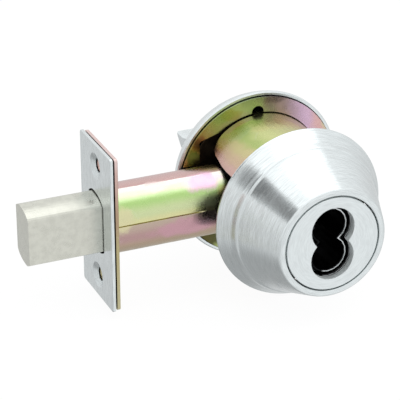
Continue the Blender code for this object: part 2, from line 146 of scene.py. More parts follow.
def figure_eight(radius: float, drop: float, steps: int = 26) -> list[Point]:
    """Draw the two stacked lobes of an interchangeable core.

    Args:
        radius: Radius of each lobe.
        drop: Distance of each lobe's centre from the middle.
        steps: Chords in each lobe.

    Returns:
        The points of the closed outline.
    """
    waist = math.degrees(math.asin(drop / radius))
    upper = arc((0.0, drop), radius, -waist, 180.0 + waist, steps)
    lower = arc((0.0, -drop), radius, 180.0 - waist, 360.0 + waist, steps)
    return upper + lower[1:-1]


# Meshes


@dataclass
class Smith:
    """Makes finished pieces out of outlines and profiles.

    Attributes:
        name: Name of the piece.
        body: Body the piece rides on.
        slot: Slot of the part's record for the piece; not used.
        nodes: CAD nodes that the piece stands for.
        sharp: Angle in degrees above which an edge stays sharp.
    """

    name: str
    body: Body
    slot: Slot
    nodes: tuple[str, ...]
    sharp: float = 32.0

    def finish(self, bm: bmesh.types.BMesh) -> bpy.types.Object:
        """Turn a bmesh into an object that rides its body.

        Args:
            bm: The shape, which is freed.

        Returns:
            The new object.
        """
        bmesh.ops.remove_doubles(bm, verts=bm.verts, dist=1e-7)
        bmesh.ops.recalc_face_normals(bm, faces=bm.faces)
        mesh = bpy.data.meshes.new(self.name)
        bm.to_mesh(mesh)
        bm.free()
        mesh.shade_smooth()
        mesh.set_sharp_from_angle(angle=math.radians(self.sharp))
        obj = bpy.data.objects.new(self.name, mesh)
        bpy.context.scene.collection.objects.link(obj)
        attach(obj, self.body.value)
        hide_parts(*self.nodes)
        LOG.info("%s: %d faces", self.name, len(mesh.polygons))
        return obj

    def turned(self, profile: list[Point], steps: int) -> bpy.types.Object:
        """Turn a closed profile of (radius, place) points about the Y axis.

        Args:
            profile: Points of the closed profile.
            steps: Chords round the axis.

        Returns:
            The new object.
        """
        bm = bmesh.new()
        verts = [bm.verts.new((radius, y, 0.0)) for radius, y in profile]
        edges = [bm.edges.new(pair) for pair in zip(verts, verts[1:] + verts[:1])]
        bmesh.ops.spin(
            bm,
            geom=verts + edges,
            cent=(0.0, 0.0, 0.0),
            axis=(0.0, 1.0, 0.0),
            angle=2.0 * math.pi,
            steps=steps,
            use_merge=True,
        )
        return self.finish(bm)

    def skinned(self, loops: list[list[Place]]) -> bpy.types.Object:
        """Stretch a skin over closed loops that have equal numbers of points, the last joined to the first.

        Args:
            loops: The loops in order.

        Returns:
            The new object.
        """
        bm = bmesh.new()
        rows = [[bm.verts.new(point) for point in loop] for loop in loops]
        weave(bm, rows + rows[:1])
        return self.finish(bm)

    def pierced(self, axis: Axis, rims: list[Wall]) -> bpy.types.Object:
        """Make a plate from its outer wall and the walls of its holes.

        Args:
            axis: Direction through the plate.
            rims: Walls, the outer one first. Each is a list of (place along the axis, outline).

        Returns:
            The new object.
        """
        bm = bmesh.new()
        caps: tuple[list, list] = ([], [])
        for wall in rims:
            rows = [[bm.verts.new(axis.point(u, v, along)) for u, v in outline] for along, outline in wall]
            weave(bm, rows)
            for cap, row in ((caps[0], rows[0]), (caps[1], rows[-1])):
                cap += [bm.edges.get(pair) for pair in zip(row, row[1:] + row[:1])]
        for cap in caps:
            bmesh.ops.triangle_fill(bm, edges=cap, use_beauty=True, use_dissolve=False)
            for edge in cap:
                edge.smooth = False
        rings = [tuple(vert.co.copy() for vert in edge.verts) for cap in caps for edge in cap]
        obj = self.finish(bm)
        keep_sharp(obj.data, rings)
        return obj


def weave(bm: bmesh.types.BMesh, rows: list[list[bmesh.types.BMVert]]) -> None:
    """Fill the space between neighbouring loops with quads.

    Args:
        bm: The mesh to add to.
        rows: Loops of vertices with equal counts.
    """
    for low, high in zip(rows, rows[1:]):
        for index in range(len(low)):
            after = (index + 1) % len(low)
            bm.faces.new((low[index], low[after], high[after], high[index]))


def rounded_place(place: Vector) -> Place:
    """Round a place to a tenth of a micron, so that equal places compare equal.

    Args:
        place: The place.

    Returns:
        The rounded place.
    """
    return tuple(round(part, 7) for part in place)


def keep_sharp(mesh: bpy.types.Mesh, rings: list[tuple[Vector, ...]]) -> None:
    """Mark the edges round flat faces as sharp, so that the faces shade flat.

    Args:
        mesh: The mesh to mark.
        rings: End points of the edges.
    """
    wanted = {frozenset(rounded_place(end) for end in ends) for ends in rings}
    places = [rounded_place(vert.co) for vert in mesh.vertices]
    for edge in mesh.edges:
        if frozenset(places[index] for index in edge.vertices) in wanted:
            edge.use_edge_sharp = True


# Shader nodes


class Graph:
    """A node tree that is filled one node at a time."""

    def __init__(self, tree: bpy.types.NodeTree) -> None:
        """Hold a tree.

        Args:
            tree: The tree to fill.
        """
        self.tree = tree

    def add(self, kind: str, settings: dict | None = None, **values: object) -> bpy.types.Node:
        """Add a node, set its properties, and link or set its inputs.

        Args:
            kind: Node type name.
            settings: Node properties by name.
            values: Input values by name; underscores stand for spaces, and i0, i1... for places.

        Returns:
            The new node.
        """
        node = self.tree.nodes.new(kind)
        for name, value in (settings or {}).items():
            setattr(node, name, value)
        for name, value in values.items():
            key = int(name[1:]) if name[0] == "i" and name[1:].isdigit() else name.replace("_", " ")
            socket = node.inputs[key]
            if isinstance(value, bpy.types.NodeSocket):
                self.tree.links.new(value, socket)
            else:
                socket.default_value = value
        return node

    def math(self, operation: str, *inputs: object) -> bpy.types.NodeSocket:
        """Add a math node.

        Args:
            operation: The operation's name.
            inputs: Its inputs in order.

        Returns:
            The result.
        """
        values = {f"i{index}": value for index, value in enumerate(inputs)}
        return self.add("ShaderNodeMath", {"operation": operation}, **values).outputs[0]

    def vector(self, operation: str, *inputs: object) -> bpy.types.Node:
        """Add a vector math node.

        Args:
            operation: The operation's name.
            inputs: Its inputs in order.

        Returns:
            The node.
        """
        values = {f"i{index}": value for index, value in enumerate(inputs)}
        return self.add("ShaderNodeVectorMath", {"operation": operation}, **values)

    def span(
        self, value: object, low: float, high: float, start: float = 0.0, end: float = 1.0
    ) -> bpy.types.NodeSocket:
        """Map a range of values smoothly onto another range.

        Args:
            value: The value to map.
            low: Where the range starts.
            high: Where the range ends.
            start: Result at the start.
            end: Result at the end.

        Returns:
            The result.
        """
        if low > high:
            low, high, start, end = high, low, end, start
        values = {"i0": value, "i1": low, "i2": high, "i3": start, "i4": end}
        return self.add("ShaderNodeMapRange", {"interpolation_type": "SMOOTHSTEP"}, **values).outputs[0]

    def noise(self, vector: object, scale: object, detail: float, rough: float = 0.5) -> bpy.types.NodeSocket:
        """Add a noise texture.

        Args:
            vector: Where it is read.
            scale: Its scale.
            detail: Its detail.
            rough: Its roughness.

        Returns:
            The noise value.
        """
        values = {"Vector": vector, "Scale": scale, "Detail": detail, "Roughness": rough}
        return self.add("ShaderNodeTexNoise", None, **values).outputs["Fac"]

    def ramp(self, value: object, stops: Stops) -> bpy.types.NodeSocket:
        """Add a colour ramp.

        Args:
            value: Where the ramp is read.
            stops: Its places and colours.

        Returns:
            The colour.
        """
        node = self.add("ShaderNodeValToRGB", None, Fac=value)
        ramp = node.color_ramp
        ramp.interpolation = "EASE"
        while len(ramp.elements) < len(stops):
            ramp.elements.new(0.5)
        for element, (place, colour) in zip(ramp.elements, stops):
            element.position = place
            element.color = (*colour, 1.0)
        return node.outputs["Color"]

    def mix(self, factor: object, first: object, second: object) -> bpy.types.NodeSocket:
        """Mix two colours.

        Args:
            factor: Share of the second.
            first: First colour.
            second: Second colour.

        Returns:
            The colour.
        """
        return self.add("ShaderNodeMix", {"data_type": "RGBA"}, i0=factor, i6=first, i7=second).outputs[2]

    def split(self, vector: object) -> tuple[bpy.types.NodeSocket, ...]:
        """Split a vector.

        Args:
            vector: The vector.

        Returns:
            Its three parts.
        """
        return tuple(self.add("ShaderNodeSeparateXYZ", None, Vector=vector).outputs)

    def join(self, x: object, y: object, z: object) -> bpy.types.NodeSocket:
        """Make a vector of three values.

        Args:
            x: First part.
            y: Second part.
            z: Third part.

        Returns:
            The vector.
        """
        return self.add("ShaderNodeCombineXYZ", None, X=x, Y=y, Z=z).outputs[0]


class Effect(Graph):
    """A shared node group with its own inputs and outputs."""

    def __init__(self, name: str, inputs: dict[str, object], outputs: tuple[str, ...]) -> None:
        """Make the group's interface.

        Args:
            name: Name of the group.
            inputs: Default value of each input; a tuple makes a vector.
            outputs: Names of the outputs, which are all single values.
        """
        super().__init__(bpy.data.node_groups.new(name, "ShaderNodeTree"))
        for label, value in inputs.items():
            kind = "NodeSocketVector" if isinstance(value, tuple) else "NodeSocketFloat"
            socket = self.tree.interface.new_socket(label, in_out="INPUT", socket_type=kind)
            socket.default_value = value
        for label in outputs:
            self.tree.interface.new_socket(label, in_out="OUTPUT", socket_type="NodeSocketFloat")
        self.given = self.add("NodeGroupInput").outputs
        self.result = self.add("NodeGroupOutput").inputs

    def give(self, **results: bpy.types.NodeSocket) -> bpy.types.NodeTree:
        """Link the results to the outputs.

        Args:
            results: Sockets by output name.

        Returns:
            The finished tree.
        """
        for label, socket in results.items():
            self.tree.links.new(socket, self.result[label])
        return self.tree


class Effects:
    """The node groups that the finishes share."""

    def __init__(self) -> None:
        """Make every group."""
        self.straight_brushing = self.make_brushing("brush_lines", turned=False)
        self.turned_brushing = self.make_brushing("turned_brush_lines", turned=True)
        self.handling = self.make_handling()
        self.grain = self.make_grain()
        self.film = self.make_film()

    def make_brushing(self, name: str, turned: bool) -> bpy.types.NodeTree:
        """Fine brush lines with a few coarser ones between them.

        Args:
            name: Name of the group.
            turned: Whether the lines run round the Y axis.

        Returns:
            The group.
        """
        inputs = {"Position": (0.0, 0.0, 0.0), "Fineness": 9000.0}
        fx = Effect(name, inputs, ("Lines", "Height", "Streaks"))
        place, fineness = fx.given["Position"], fx.given["Fineness"]
        if turned:
            x, y, z = fx.split(place)
            angle = fx.math("ARCTAN2", fx.math("MULTIPLY", z, -1.0), fx.math("MULTIPLY", x, -1.0))
            squares = fx.math("ADD", fx.math("MULTIPLY", x, x), fx.math("MULTIPLY", z, z))
            place = fx.join(fx.math("SQRT", squares), y, fx.math("MULTIPLY", angle, 0.0011))
        lines = fx.span(fx.noise(place, fineness, 5.0), 0.34, 0.66)
        streaks = fx.span(fx.noise(place, fx.math("MULTIPLY", fineness, 0.28), 4.0), 0.40, 0.68)
        height = fx.math("ADD", fx.math("MULTIPLY", lines, 0.6), fx.math("MULTIPLY", streaks, 0.4))
        return fx.give(Lines=lines, Height=height, Streaks=streaks)

    def make_handling(self) -> bpy.types.NodeTree:
        """Faint smudges and a few hair scratches left by handling.

        Returns:
            The group.
        """
        fx = Effect("handling_marks", {"Position": (0.0, 0.0, 0.0)}, ("Smudge", "Scratch"))
        position = fx.given["Position"]
        smudge = fx.span(fx.noise(position, 95.0, 5.0, 0.6), 0.44, 0.70)
        drift = fx.add("ShaderNodeTexNoise", None, Vector=position, Scale=60.0).outputs["Color"]
        drift = fx.add("ShaderNodeVectorMath", {"operation": "SCALE"}, i0=drift, Scale=0.004).outputs[0]
        bent = fx.vector("ADD", position, drift).outputs[0]
        cells = fx.add("ShaderNodeTexVoronoi", {"feature": "DISTANCE_TO_EDGE"}, Vector=bent, Scale=210.0)
        hair = fx.span(cells.outputs["Distance"], 0.012, 0.0)
        sparse = fx.span(fx.noise(position, 150.0, 2.0, 0.55), 0.56, 0.66)
        return fx.give(Smudge=smudge, Scratch=fx.math("MULTIPLY", hair, sparse))

    def make_grain(self) -> bpy.types.NodeTree:
        """The fine pebbled grain of a plated or blasted surface.

        Returns:
            The group.
        """
        inputs = {"Position": (0.0, 0.0, 0.0), "Scale": 2600.0}
        fx = Effect("plated_grain", inputs, ("Grain", "Mottle"))
        position, scale = fx.given["Position"], fx.given["Scale"]
        fine = fx.noise(position, scale, 4.0)
        mottle = fx.noise(position, fx.math("MULTIPLY", scale, 0.12), 3.0)
        return fx.give(Grain=fx.span(fine, 0.3, 0.7), Mottle=fx.span(mottle, 0.35, 0.65))

    def make_film(self) -> bpy.types.NodeTree:
        """The wandering thickness of a dichromate film, as a phase to read colours with.

        Returns:
            The group.
        """
        inputs = {"Position": (0.0, 0.0, 0.0), "Base": 0.0, "Wander": 0.2, "Scale": 70.0}
        fx = Effect("film_phase", inputs, ("Phase", "Cloud"))
        position, scale = fx.given["Position"], fx.given["Scale"]
        broad = fx.noise(position, scale, 2.0)
        small = fx.noise(position, fx.math("MULTIPLY", scale, 4.0), 3.0)
        drift = fx.math("SUBTRACT", fx.math("ADD", broad, fx.math("MULTIPLY", small, 0.35)), 0.675)
        phase = fx.math("ADD", fx.given["Base"], fx.math("MULTIPLY", drift, fx.given["Wander"]))
        return fx.give(Phase=phase, Cloud=fx.span(broad, 0.42, 0.62))


# Finishes

CHROME: Colour = (0.74, 0.79, 0.80)
PINK: Colour = (0.70, 0.43, 0.42)
LILAC: Colour = (0.66, 0.46, 0.62)
GREEN: Colour = (0.40, 0.60, 0.22)
PALE_GREEN: Colour = (0.56, 0.68, 0.33)
PALE_YELLOW: Colour = (0.70, 0.68, 0.36)
ORANGE: Colour = (0.58, 0.38, 0.12)
OLIVE: Colour = (0.34, 0.27, 0.13)
MAUVE: Colour = (0.44, 0.28, 0.28)
SHADOW: Colour = (0.012, 0.013, 0.014)
FILM_PIT: Colour = (0.35, 0.30, 0.20)
BARE_ZINC: Colour = (0.72, 0.72, 0.66)


def shade(colour: Colour, factor: float = 1.0) -> tuple[float, float, float, float]:
    """Scale a colour, hold it below white, and make it opaque.

    Args:
        colour: The colour.
        factor: What it is multiplied by.

    Returns:
        The colour with its alpha.
    """
    return (*(min(1.0, part * factor) for part in colour), 1.0)


@dataclass(frozen=True)
class Finish:
    """What every finish has.

    Attributes:
        name: Name of the material.
        roughness: Middle roughness.
    """

    name: str
    roughness: float

    def build(self, effects: Effects) -> bpy.types.Material:
        """Make the material; each finish does it in its own way.

        Args:
            effects: The shared effects.

        Returns:
            The material.
        """
        raise NotImplementedError

    def start(self, metallic: float = 1.0) -> tuple[Graph, bpy.types.Node, bpy.types.NodeSocket]:
        """Make an empty material with its shader.

        Args:
            metallic: Metallic value of the shader.

        Returns:
            The graph, the shader and the object coordinates.
        """
        material = bpy.data.materials.new(self.name)
        material.use_nodes = True
        graph = Graph(material.node_tree)
        shader = material.node_tree.nodes["Principled BSDF"]
        shader.inputs["Metallic"].default_value = metallic
        return graph, shader, graph.add("ShaderNodeTexCoord").outputs["Object"]

    def group(self, graph: Graph, tree: bpy.types.NodeTree, **values: object) -> bpy.types.Node:
        """Use a shared effect in a material.

        Args:
            graph: The material's graph.
            tree: The effect.
            values: Its inputs by name.

        Returns:
            The group node.
        """
        return graph.add("ShaderNodeGroup", {"node_tree": tree}, **values)

    def relief(
        self, graph: Graph, shader: bpy.types.Node, height: object, strength: float, depth: float = 0.00003
    ) -> None:
        """Give a shader a fine relief.

        Args:
            graph: The material's graph.
            shader: The shader.
            height: Height from 0 to 1.
            strength: Strength of the effect.
            depth: Depth in metres.
        """
        bump = graph.add("ShaderNodeBump", None, Height=height, Distance=depth, Strength=strength)
        graph.tree.links.new(bump.outputs["Normal"], shader.inputs["Normal"])

    def paint(
        self, graph: Graph, shader: bpy.types.Node, colour: object, roughness: object
    ) -> bpy.types.Material:
        """Link a colour and a roughness to a shader.

        Args:
            graph: The material's graph.
            shader: The shader.
            colour: The colour.
            roughness: The roughness.

        Returns:
            The finished material.
        """
        graph.tree.links.new(colour, shader.inputs["Base Color"])
        graph.tree.links.new(roughness, shader.inputs["Roughness"])
        return bpy.data.materials[self.name]


@dataclass(frozen=True)
class BrushedMetal(Finish):
    """Metal with brush lines, straight or round the Y axis.

    Attributes:
        colour: Base colour.
        stretch: Scale of the coordinates along X, Y and Z; the lines run where it is small.
        turned: Whether the lines run round the Y axis instead.
        contrast: How dark the lines are.
        anisotropic: Strength of the stretched highlight.
        fineness: Scale of the lines.
    """

    colour: Colour
    stretch: tuple[float, float, float] = (1.0, 1.0, 0.02)
    turned: bool = False
    contrast: float = 0.12
    anisotropic: float = 0.0
    fineness: float = 5200.0

    def build(self, effects: Effects) -> bpy.types.Material:
        """Make the material.

        Args:
            effects: The shared effects.

        Returns:
            The material.
        """
        graph, shader, position = self.start()
        if self.turned:
            tree, place = effects.turned_brushing, position
        else:
            tree = effects.straight_brushing
            place = graph.vector("MULTIPLY", position, self.stretch).outputs[0]
        lines = self.group(graph, tree, Position=place, Fineness=self.fineness)
        marks = self.group(graph, effects.handling, Position=position)
        dark = shade(self.colour, 1.0 - self.contrast * 1.6)
        pale = shade(self.colour, 1.0 + self.contrast * 0.5)
        colour = graph.mix(lines.outputs["Lines"], dark, pale)
        streaks = graph.math("MULTIPLY", lines.outputs["Streaks"], self.contrast * 1.3)
        colour = graph.mix(streaks, colour, shade(self.colour, 0.55))
        colour = graph.mix(graph.math("MULTIPLY", marks.outputs["Scratch"], 0.25), colour, pale)
        rough = graph.math("MULTIPLY_ADD", lines.outputs["Lines"], -0.08, self.roughness + 0.04)
        rough = graph.math("MULTIPLY_ADD", marks.outputs["Smudge"], 0.05, rough)
        self.relief(graph, shader, lines.outputs["Height"], 0.10 + self.contrast)
        if self.anisotropic:
            shader.inputs["Anisotropic"].default_value = self.anisotropic
            shader.inputs["Anisotropic Rotation"].default_value = 0.25
            tangent = graph.add("ShaderNodeTangent", {"direction_type": "RADIAL", "axis": "Y"})
            graph.tree.links.new(tangent.outputs[0], shader.inputs["Tangent"])
        return self.paint(graph, shader, colour, rough)


@dataclass(frozen=True)
class PlatedMetal(Finish):
    """Metal with a fine plated or blasted grain.

    Attributes:
        colour: Base colour.
        grain: Scale of the grain.
        contrast: How strongly the grain shows.
        painted_shade_behind: Place along Y behind which painted shade darkens the surface to near black, if
            any.
        painted_shade_beyond: Place along X to the left of which painted shade darkens the surface to near
            black, if any.
    """

    colour: Colour
    grain: float = 2600.0
    contrast: float = 0.10
    painted_shade_behind: float | None = None
    painted_shade_beyond: float | None = None

    def build(self, effects: Effects) -> bpy.types.Material:
        """Make the material.

        Args:
            effects: The shared effects.

        Returns:
            The material.
        """
        graph, shader, position = self.start()
        grain = self.group(graph, effects.grain, Position=position, Scale=self.grain)
        marks = self.group(graph, effects.handling, Position=position)
        dark = shade(self.colour, 1.0 - self.contrast)
        colour = graph.mix(grain.outputs["Mottle"], dark, shade(self.colour))
        pits = graph.math("MULTIPLY", grain.outputs["Grain"], self.contrast)
        colour = graph.mix(pits, colour, shade(self.colour, 0.6))
        # Painted shade: blend the surface to near black deep in the housing and on its left side.
        if self.painted_shade_behind is not None:
            depth = graph.span(graph.split(position)[1], self.painted_shade_behind, self.painted_shade_behind + 0.0006)
            colour = graph.mix(depth, colour, shade(SHADOW))
        if self.painted_shade_beyond is not None:
            side = graph.span(graph.split(position)[0], self.painted_shade_beyond - 0.0010, self.painted_shade_beyond, 1.0, 0.0)
            colour = graph.mix(side, colour, shade(SHADOW))
        rough = graph.math("MULTIPLY_ADD", grain.outputs["Mottle"], 0.06, self.roughness - 0.03)
        rough = graph.math("MULTIPLY_ADD", marks.outputs["Smudge"], 0.06, rough)
        self.relief(graph, shader, grain.outputs["Grain"], 0.12 + self.contrast)
        return self.paint(graph, shader, colour, rough)


@dataclass(frozen=True)
class Cloud:
    """A patch of one colour laid over a film, for film colour and also for painted shade and reflection.

    Attributes:
        centre: Middle of the patch.
        radii: Its reach along X, Y and Z.
        colour: Its colour.
        share: How strongly it shows.
    """

    centre: Place
    radii: Place
    colour: Colour
    share: float


@dataclass(frozen=True)
class DichromateZinc(Finish):
    """Zinc plate under a film that shows yellow, green, pink and violet.

    Attributes:
        stops: Colours of the film by phase.
        direction: Direction in which the film's phase grows, per metre.
        offset: Phase at the origin.
        wander: How far the film's thickness strays.
        scale: Scale of the film's unevenness.
        about_x: Whether the phase grows with the angle round the X axis as well.
        clouds: Patches laid over the film, which give film colour and also painted shade and reflection.
    """

    stops: Stops
    direction: Place = (0.0, 0.0, 0.0)
    offset: float = 0.0
    wander: float = 0.25
    scale: float = 70.0
    about_x: bool = False
    clouds: tuple[Cloud, ...] = ()

    def build(self, effects: Effects) -> bpy.types.Material:
        """Make the material.

        Args:
            effects: The shared effects.

        Returns:
            The material.
        """
        graph, shader, position = self.start()
        base = graph.vector("DOT_PRODUCT", position, self.direction).outputs["Value"]
        if self.about_x:
            _, y, z = graph.split(position)
            angle = graph.math("ARCTAN2", z, graph.math("MULTIPLY", y, -1.0))
            turn = graph.math("MULTIPLY_ADD", angle, 1.0 / math.pi, 0.5)
            base = graph.math("ADD", base, turn)
        base = graph.math("ADD", base, self.offset)
        values = {"Position": position, "Base": base, "Wander": self.wander, "Scale": self.scale}
        film = self.group(graph, effects.film, **values)
        grain = self.group(graph, effects.grain, Position=position, Scale=3200.0)
        marks = self.group(graph, effects.handling, Position=position)
        colour = graph.ramp(film.outputs["Phase"], self.stops)
        stray = graph.add("ShaderNodeTexNoise", None, Vector=position, Scale=260.0, Detail=3.0)
        stray = graph.vector("SUBTRACT", stray.outputs["Color"], (0.5, 0.5, 0.5)).outputs[0]
        # Lay the patches: film colour, and on the tube and the mounting plate also painted shade and
        # reflection.
        for cloud in self.clouds:
            offset = graph.vector("SUBTRACT", position, cloud.centre).outputs[0]
            offset = graph.vector("DIVIDE", offset, cloud.radii).outputs[0]
            reach = graph.vector("LENGTH", graph.vector("ADD", offset, stray).outputs[0]).outputs["Value"]
            share = graph.span(reach, 0.60, 1.15, cloud.share, 0.0)
            colour = graph.mix(share, colour, shade(cloud.colour))
        colour = graph.mix(graph.math("MULTIPLY", grain.outputs["Grain"], 0.10), colour, shade(FILM_PIT))
        colour = graph.mix(graph.math("MULTIPLY", marks.outputs["Scratch"], 0.5), colour, shade(BARE_ZINC))
        rough = graph.math("MULTIPLY_ADD", grain.outputs["Mottle"], 0.07, self.roughness - 0.03)
        rough = graph.math("MULTIPLY_ADD", film.outputs["Cloud"], 0.05, rough)
        self.relief(graph, shader, grain.outputs["Grain"], 0.16)
        return self.paint(graph, shader, colour, rough)


@dataclass(frozen=True)
class MouldedNylon(Finish):
    """Off-white moulded nylon.

    Attributes:
        colour: Base colour.
    """

    colour: Colour

    def build(self, effects: Effects) -> bpy.types.Material:
        """Make the material.

        Args:
            effects: The shared effects.

        Returns:
            The material.
        """
        graph, shader, position = self.start(0.0)
        grain = self.group(graph, effects.grain, Position=position, Scale=1800.0)
        colour = graph.mix(grain.outputs["Mottle"], shade(self.colour, 0.86), shade(self.colour))
        rough = graph.math("MULTIPLY_ADD", grain.outputs["Grain"], 0.08, self.roughness)
        self.relief(graph, shader, grain.outputs["Grain"], 0.2, 0.00005)
        return self.paint(graph, shader, colour, rough)


class Palette:
    """Every finish, made once."""

    def __init__(self) -> None:
        """Make the materials."""
        effects = Effects()
        tube = [
            (0.155, OLIVE), (0.30, (0.45, 0.34, 0.24)), (0.42, MAUVE), (0.545, (0.50, 0.40, 0.33)),
            (0.565, PALE_YELLOW), (0.64, (0.60, 0.68, 0.38)), (0.75, GREEN), (0.85, (0.66, 0.74, 0.52)),
            # Painted highlight: the pale stops from 0.905 to 0.926 lay a bright line along the tube's upper
            # near side.
            (0.905, (0.80, 0.76, 0.68)), (0.926, (0.93, 0.92, 0.88)), (0.938, (0.56, 0.37, 0.36)),
            (1.0, (0.60, 0.41, 0.40)),
        ]
        tube_film_and_painted_shade = (
            Cloud((-0.0290, -0.0058, 0.0105), (0.0075, 0.0045, 0.0040), (0.80, 0.50, 0.68), 0.9),
            Cloud((-0.0460, -0.0044, 0.0112), (0.0055, 0.0030, 0.0022), (0.78, 0.62, 0.60), 0.8),
            Cloud((-0.0610, -0.0112, 0.0042), (0.0050, 0.0060, 0.0050), (0.70, 0.66, 0.40), 0.8),
            Cloud((-0.0380, -0.0120, -0.0025), (0.0130, 0.0060, 0.0040), (0.55, 0.31, 0.37), 0.8),
            Cloud((-0.0230, 0.0035, 0.0120), (0.0110, 0.0035, 0.0030), (0.42, 0.36, 0.11), 0.8),
            # Painted shade and reflection: these two olive patches by the collar stand for the collar's
            # shadow and reflection on the tube.
            Cloud((-0.0225, -0.0114, 0.0026), (0.0045, 0.0045, 0.0048), (0.42, 0.36, 0.18), 0.6),
            Cloud((-0.0215, -0.0098, 0.0070), (0.0040, 0.0030, 0.0028), (0.46, 0.40, 0.16), 0.9),
        )
        plate = [
            (0.00, ORANGE), (0.10, (0.46, 0.36, 0.08)), (0.24, (0.42, 0.50, 0.20)),
            (0.38, (0.52, 0.62, 0.34)), (0.47, (0.40, 0.52, 0.26)), (0.56, (0.34, 0.30, 0.26)),
            (0.66, (0.52, 0.38, 0.38)), (0.78, LILAC), (0.90, PINK), (1.0, PALE_GREEN),
        ]
        plate_film_and_painted_shade = (
            # Painted shade and reflection: the first three, near-black patches darken the plate's left beside
            # the drum's notch; the rest are film colour.
            Cloud((-0.0250, 0.0114, 0.0110), (0.0034, 0.0100, 0.0036), (0.13, 0.22, 0.04), 0.9),
            Cloud((-0.0225, 0.0114, 0.0085), (0.0034, 0.0100, 0.0030), (0.05, 0.05, 0.015), 0.9),
            Cloud((-0.0190, 0.0114, -0.0205), (0.0060, 0.0100, 0.0050), (0.05, 0.045, 0.015), 0.9),
            Cloud((-0.0230, 0.0114, 0.0165), (0.0030, 0.0100, 0.0030), (0.30, 0.15, 0.05), 0.8),
            Cloud((-0.0110, 0.0114, 0.0250), (0.0045, 0.0100, 0.0025), (0.46, 0.42, 0.10), 0.7),
            Cloud((0.0065, 0.0114, 0.0285), (0.0050, 0.0100, 0.0018), (0.22, 0.16, 0.15), 0.6),
        )
        drum_clouds = (
            Cloud((-0.0090, 0.0095, 0.0223), (0.0100, 0.0022, 0.0040), (0.60, 0.42, 0.40), 0.6),
            Cloud((-0.0110, 0.0040, 0.0214), (0.0050, 0.0040, 0.0040), (0.40, 0.52, 0.24), 0.5),
            Cloud((0.0040, 0.0010, 0.0237), (0.0120, 0.0050, 0.0040), (0.66, 0.60, 0.26), 0.6),
        )
        drum = [
            (0.0, (0.66, 0.44, 0.40)), (0.16, (0.62, 0.47, 0.32)), (0.32, (0.60, 0.54, 0.28)),
            (0.46, (0.42, 0.52, 0.18)), (0.62, (0.60, 0.64, 0.28)), (0.84, (0.56, 0.56, 0.26)),
            (1.0, (0.50, 0.46, 0.22)),
        ]
        backing = [
            (0.0, (0.50, 0.46, 0.28)), (0.4, (0.46, 0.40, 0.22)), (0.62, (0.42, 0.30, 0.20)),
            (0.86, (0.60, 0.42, 0.38)), (1.0, (0.74, 0.58, 0.56)),
        ]
        finishes = [
            BrushedMetal("chrome_turned", 0.22, CHROME, turned=True, contrast=0.08, anisotropic=0.85),
            BrushedMetal("chrome_face", 0.34, CHROME, turned=True, contrast=0.05),
            PlatedMetal("chrome_bore", 0.75, (0.80, 0.84, 0.84), contrast=0.05),
            BrushedMetal("chrome_plate", 0.22, (0.72, 0.77, 0.78), stretch=(1.0, 1.0, 0.06), contrast=0.10),
            BrushedMetal("chrome_rose", 0.28, CHROME, turned=True, contrast=0.06),
            PlatedMetal("chrome_cast", 0.28, CHROME, contrast=0.06),
            PlatedMetal("bolt_satin", 0.30, (0.64, 0.645, 0.58), grain=3800.0, contrast=0.10),
            DichromateZinc("dichromate_tube_and_painted_light", 0.24, tube, wander=0.04, about_x=True, clouds=tube_film_and_painted_shade),
            DichromateZinc(
                "dichromate_plate", 0.26, plate, (17.0, 0.0, 0.0), 0.50, 0.20, clouds=plate_film_and_painted_shade
            ),
            DichromateZinc("dichromate_drum", 0.26, drum, (22.0, 0.0, 30.0), 0.03, clouds=drum_clouds),
            DichromateZinc("dichromate_backing", 0.30, backing, (0.0, 0.0, 17.0), 0.50, 0.12),
            PlatedMetal("steel_plain", 0.36, (0.52, 0.53, 0.54), contrast=0.14),
            BrushedMetal("steel_sheet", 0.36, (0.50, 0.51, 0.52), stretch=(0.03, 1.0, 1.0), contrast=0.16),
            # Dark hardened steel for pins and rods; on the faceplate's rear faces it stands for painted
            # shade.
            PlatedMetal("steel_hard", 0.32, (0.22, 0.23, 0.24), contrast=0.18),
            # Near-black steel; on the support plate its darkness also paints the shade seen through the
            # mounting plate's notch.
            PlatedMetal("steel_oiled", 0.45, (0.10, 0.075, 0.05), grain=1500.0, contrast=0.35),
            # Plated housing, with painted shade deep inside and on the left of its rim.
            PlatedMetal(
                "housing_plated",
                0.34,
                (0.72, 0.75, 0.76),
                contrast=0.12,
                painted_shade_behind=-0.0440,
                painted_shade_beyond=-0.0015,
            ),
            MouldedNylon("nylon_moulded", 0.5, (0.80, 0.79, 0.74)),
        ]
        self.materials = {finish.name: finish.build(effects) for finish in finishes}

    def dress(self, obj: bpy.types.Object, finish: str) -> None:
        """Give an object its finish.

        Args:
            obj: The object.
            finish: Name of the finish.
        """
        obj.data.materials.clear()
        obj.data.materials.append(self.materials[finish])

    def line(self, obj: bpy.types.Object, finish: str, chosen: Callable[[Vector, Vector], bool]) -> None:
        """Give some of an object's faces a second finish.

        Args:
            obj: The object.
            finish: Name of the second finish.
            chosen: Tells from a face's middle and normal whether it takes the second finish.
        """
        obj.data.materials.append(self.materials[finish])
        for face in obj.data.polygons:
            if chosen(face.center, face.normal):
                face.material_index = len(obj.data.materials) - 1


# Sub-assemblies

WELD_DISTANCE = 1e-6
EDGE_WIDTH = 0.00015
EDGE_ANGLE = 40.0


